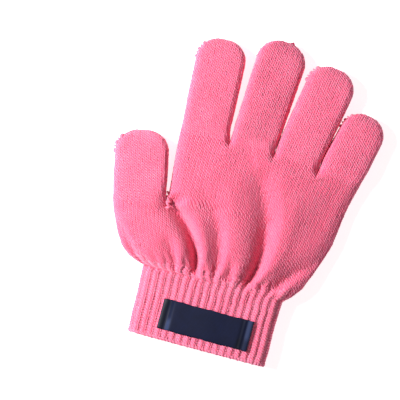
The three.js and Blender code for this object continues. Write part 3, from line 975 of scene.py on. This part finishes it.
def knot(spot, normal, direction, size):
    """The cell of one lump of yarn that lies along a direction."""
    across = unit(direction - normal * (direction @ normal)) * size
    along = np.cross(normal, across) * 0.75
    corners = [(spot + i * across / 2 + j * along / 2)[None] for j in (-1, 1) for i in (-1, 1)]
    return corners, [normal[None]] * 4


def lumps(stitches, spots, normals, size, rise=0.7):
    """A chain of loops seen from its edge: lumps of yarn along a line, each turned a little from the last."""
    spots = np.array(spots)
    for k, (spot, out, ahead) in enumerate(zip(spots, normals, unit(np.gradient(spots, axis=0)))):
        turn = np.cross(out, ahead) + (0.5 - k % 2) * ahead
        stitches.add(*knot(spot - 0.2 * out, out, turn, size), KNOT * [1, 1, rise * size])


# Each fingertip is closed by a short chain of loops on its left shoulder. Rows: course and column.
CLOSING_CHAIN = [(0.1, 0.7), (1.7, 0.8), (3.2, 0.9), (4.6, 1.2), (5.9, 1.8)]
CHAIN_COLUMNS = 26
CHAIN_SIZE = {"thumb": 2.3, "index": 1.6, "middle": 0.9, "ring": 2.2, "little": 1.7}

for name, (strip, tip_rows, _) in branches.items():
    stitches = Stitches()
    stitches.add_round(strip.round_grid(), FINGER_JERSEY)
    grid, normals, keep = tip_lattice(tip_rows[:-1], strip.wales)
    stitches.add_round(grid, FINGER_JERSEY, keep, normals)
    shoulder = np.array([evenly(row[0], CHAIN_COLUMNS) for row in tip_rows])
    shoulder_normals = grid_normals(shoulder)
    spots, outward = [], []
    for course, column in CLOSING_CHAIN:
        j, i = int(course), int(column)
        if j + 2 < len(tip_rows):
            cell = cell_corners(shoulder[j:j + 2, i:i + 2])
            spots.append(blend_corners(np.array([column - i]), np.array([course - j]), cell)[0, 0])
            outward.append(shoulder_normals[j, i])
    lumps(stitches, spots, outward, CHAIN_SIZE[name])
    stitches.make(name + "_stitches")


# The last loops of the thumb's web, and a short row of loops on the palm beside it

WEB_LINE = np.linspace([-37.3, 80.4, 7.6], [-35.7, 72.8, 12.9], 6)
WEB_SIZE = 2.2
PALM_LINE = np.linspace([-20.6, 77.9], [-14.6, 77.2], 4)
PALM_SIZE = 1.6
PALM_DEPTH = 0.3  # they lie this deep in the knit
PALM_RISE = 0.3


def web_stitches():
    grids = [wrist.grid(True, 2), knuckles.grid(True, 2)]
    points = np.concatenate([grid.reshape(-1, 3) for grid in grids])
    normals = np.concatenate([grid_normals(grid).reshape(-1, 3) for grid in grids])
    nearest = [np.linalg.norm(points[:, :2] - spot, axis=1).argmin() for spot in PALM_LINE]
    spots = np.column_stack([PALM_LINE, points[nearest, 2] - PALM_DEPTH])
    stitches = Stitches()
    lumps(stitches, WEB_LINE, np.tile([0.0, 0.0, 1.0], (len(WEB_LINE), 1)), WEB_SIZE)
    lumps(stitches, spots, normals[nearest], PALM_SIZE, PALM_RISE)
    stitches.make("web_stitches")


web_stitches()


# The cuff

cuff_courses = np.linspace(0, CUFF_LENGTH, round(CUFF_LENGTH / COURSE) + 1)
cuff_rows = [cuff_row(values) for values in hermite(CUFF_ROWS[:, 0], CUFF_ROWS, cuff_courses)]
even_ribs = [np.linspace(0, 1, RIBS // 2 + 1)] * 2
cuff = Strip(cuff_rows, [even_ribs] * len(cuff_rows), even_ribs, np.zeros(len(cuff_rows)))


def cuff_body(grid):
    """The cuff as a tube open at both ends."""
    normals = grid_normals(grid, closed=True)
    outer = grid - BODY_INSET * normals
    inner = outer - CUFF_WALL * normals
    for k in (0, -1):
        outer[k, :, 1] = inner[k, :, 1] = grid[k, :, 1]
    rows, columns = grid.shape[:2]
    rims = [list(range(columns)), list(range((rows - 1) * columns, rows * columns))[::-1]]
    faces = two_skins(lattice_quads(rows, columns, closed=True), rims, rows * columns)
    # Its material is the yarn with painted shade, which shows in the gaps between the ribs' stitches.
    piece = new_piece("cuff_body", [outer, inner], faces, "pink_rib", depth)
    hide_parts("rib_cuff")


cuff_grid = cuff.round_grid(RIB_STEPS)
cuff_body(cuff_grid)

cuff_stitches = Stitches()
add_ribs(cuff_stitches, cuff_grid, [len(cuff_grid) - 1] * RIBS)
cuff_stitches.add_round(cuff_grid[:2, ::RIB_STEPS // 2], CAST_ON)
cuff_stitches.make("cuff_stitches", "pink_rib")


# The grip dots on the palm side

DOT_RADIUS = 1.45
DOT_PITCH = 4.5
DOT_MARGIN = 7.8  # along the knit, from the glove's edge
DOT_CLEAR_X = 2  # and in plan
DOT_CLOSEST = 0.9 * DOT_PITCH
DOT_DEPTH = 0.25  # in the knit
DOT_SIDES = 10
DOT_PROFILE = [(1.0, 0.95), (0.97, 0.6), (0.8, 0.2), (0.45, 0.03)]  # radius and height, both as shares


def dot_places():
    """Places of the dots: a triangular lattice along each finger and across the palm."""
    places = []
    row_pitch = DOT_PITCH * math.sqrt(3) / 2 / COURSE
    runs = [((strip.rows + tip_rows[1:])[2:-5], True) for strip, tip_rows, _ in branches.values()]
    for rows, finger in runs + [((wrist_rows + knuckle_rows[1:])[4:-2], False)]:
        for k in range(int(len(rows) / row_pitch)):
            course = k * row_pitch
            share = course - int(course)
            low, high = (rows[min(j, len(rows) - 1)][1] for j in (int(course), int(course) + 1))
            line = evenly(low, 200) * (1 - share) + evenly(high, 200) * share
            along = running_length(line)
            count = int(np.ptp(line[:, 0]) / DOT_PITCH / 2) + 1
            for i in range(-count, count + 1):
                x = (i + (k % 2) / 2) * DOT_PITCH
                clear = finger or line[0, 0] + DOT_CLEAR_X < x < line[-1, 0] - DOT_CLEAR_X
                place = along[-1] / 2 + x if finger else np.interp(x, line[:, 0], along)
                if clear and DOT_MARGIN < place < along[-1] - DOT_MARGIN:
                    spot = at_lengths(line, [place])[0]
                    if all(math.dist(spot[:2], other[:2]) > DOT_CLOSEST for other in places):
                        places.append(spot)
    return np.array(places)


def grip_dots(places):
    angles = np.arange(DOT_SIDES) * 2 * math.pi / DOT_SIDES
    dot = [(DOT_RADIUS * r * math.cos(a), DOT_RADIUS * r * math.sin(a), (DOT_HEIGHT + DOT_DEPTH) * h)
           for r, h in DOT_PROFILE for a in angles]
    dot.append((0, 0, 0))
    faces = [[a, d, c, b] for a, b, c, d in lattice_quads(len(DOT_PROFILE), DOT_SIDES, closed=True)]
    last = len(dot) - 1
    lowest = last - DOT_SIDES
    faces += [[lowest + k, last, lowest + (k + 1) % DOT_SIDES] for k in range(DOT_SIDES)]
    faces.append(list(range(DOT_SIDES)))
    points = (places * [1, 1, 0])[:, None] + np.array(dot)[None]
    all_faces = [[v + i * len(dot) for v in face] for i in range(len(places)) for face in faces]
    new_piece("grip_dots", points, all_faces, "black_grip", grip)


grip_dots(dot_places())


# The label, a woven tape with its ends folded under

# The flat tape is as long as what shows and two folded ends of 5.2, and as wide as the label is high.
LABEL = {"middle_x": 1.6, "middle_y": 14.7, "width": 52.2, "height": 17.3, "tape": 0.5, "fold": 0.7}
LABEL_ROUND = 0.9  # its ends are folds, rounded over this length
LABEL_ROWS = 22
LABEL_SEAM = {"from_end": 3.7, "width": 0.9, "depth": 0.35}
# Painted highlight and painted shade in stripes near the folded ends. Columns: from the left end or the right
# end, how far, half width, strength along the upper edge, and what the lower edge adds; painted shade is
# below zero
LABEL_PAINTED_FOLD_LIGHT = [("left", 5.4, 1.0, 0.15, 0.6), ("right", 1.8, 1.5, 0.45, -0.3),
               ("left", 1.9, 1.7, -0.75, 0.0), ("right", 5.8, 1.7, -0.4, -0.35)]


def label_tape():
    crown = evenly(cuff_rows[round(LABEL["middle_y"] / COURSE)][0], 600)
    half = LABEL["width"] / 2
    bend = LABEL_ROUND * (1 - np.cos(np.linspace(0, math.pi / 2, 6)))
    flat = np.linspace(-half + LABEL_ROUND, half - LABEL_ROUND, 74)[1:-1]
    x = np.concatenate([-half + bend, flat, half - bend[::-1]])
    from_ends = {"left": x + half, "right": half - x}
    end = np.minimum(x + half, half - x)
    rounded = np.sqrt(np.clip(1 - (1 - np.clip(end / LABEL_ROUND, 0, 1))**2, 0, 1))
    lies_on = [crown[abs(crown[:, 0] - LABEL["middle_x"] - place) < 3.2, 2].max() for place in x]
    window = np.hanning(13)
    base = np.convolve(np.pad(lies_on, 6, mode="edge"), window / window.sum(), "valid") - 0.15
    seam = LABEL_SEAM["depth"] * bell(end - LABEL_SEAM["from_end"], LABEL_SEAM["width"])
    puff = smoothstep(4.0, 7.0, end)
    folded = 1 - smoothstep(4.6, 6.0, end)
    height = base + LABEL["tape"] + (0.75 * folded - seam) * rounded + puff * 0.55
    over, under, painted_fold_light = [], [], []
    for share in np.linspace(-1, 1, LABEL_ROWS):
        wander = 0.12 * np.sin(x / 3.1 + share) + 0.08 * np.sin(x / 1.3)
        y = LABEL["middle_y"] + share * LABEL["height"] / 2 + wander * abs(share)**8 * np.sign(share)
        lump = 0.35 * bell(x + half - 3, 2.4) * bell(share - 0.8, 0.35)
        top = height - 0.3 * puff * abs(share)**6 + lump
        low = np.where(end < LABEL_ROUND, base + 0.6 * (1 - rounded),
                       top - LABEL["tape"] - folded * LABEL["fold"])
        over.append(np.column_stack([x + LABEL["middle_x"], y, top]))
        under.append(np.column_stack([x + LABEL["middle_x"], y, low]))
        foot = smoothstep(0.5, 1.0, 0.5 - share)
        painted_fold_light.append(sum((strength + more * foot) * bell(from_ends[side] - place, width)
                         for side, place, width, strength, more in LABEL_PAINTED_FOLD_LIGHT))
    columns = len(x)
    count = LABEL_ROWS * columns
    border = [*range(columns), *range(2 * columns - 1, count, columns),
              *range(count - 2, count - columns - 1, -1), *range(count - 2 * columns, 0, -columns)]
    faces = two_skins(lattice_quads(LABEL_ROWS, columns), [border], count)
    piece = new_piece("label_tape", over + under, faces, "navy_tape", tape)
    # Each point carries the painted highlight and painted shade of the folded ends, for the tape's material.
    name_values(piece, "band", np.tile(np.ravel(painted_fold_light), 2))
    return piece


label = label_tape()
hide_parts("woven_label")


# The stage

bpy.ops.mesh.primitive_plane_add(size=4, location=(0, 0, 0))
floor = bpy.context.object
floor.name = "floor"
floor.data.materials.append(floor_paper())

world = bpy.data.worlds.new("studio")
bpy.context.scene.world = world
world.use_nodes = True
background = world.node_tree.nodes["Background"]
background.inputs["Color"].default_value = (1, 1, 1, 1)
background.inputs["Strength"].default_value = 0.25


def soft_light(name, location, size, power):
    """A round soft light that shines at the part's middle."""
    light = bpy.data.lights.new(name, "AREA")
    light.shape = "DISK"
    light.size = size
    light.energy = power
    lamp = new_object(name, light)
    lamp.location = location
    x, y, z = location
    lamp.rotation_euler = (math.atan2(math.hypot(x, y), z), 0, math.atan2(x, -y))


soft_light("key", (-0.635, 0.03, 0.54), 0.26, 12.9)

# The camera looks straight down, turned so that the cuff's axis leans 15 degrees to the right.
CAMERA_HEIGHT = 1.2
PICTURE_WIDTH = 0.225
CAMERA_TURN = 15
SENSOR = 36
PICTURE_MIDDLE = place([-19.5, 81.5, 8.0])
camera_data = bpy.data.cameras.new("camera")
camera_data.sensor_width = SENSOR
camera_data.lens = SENSOR * (CAMERA_HEIGHT - PICTURE_MIDDLE[2]) / PICTURE_WIDTH
camera = new_object("camera", camera_data)
camera.location = (PICTURE_MIDDLE[0], PICTURE_MIDDLE[1], CAMERA_HEIGHT)
camera.rotation_euler = (0, 0, math.radians(CAMERA_TURN))
bpy.context.scene.camera = camera
bpy.context.scene.view_settings.view_transform = "Standard"
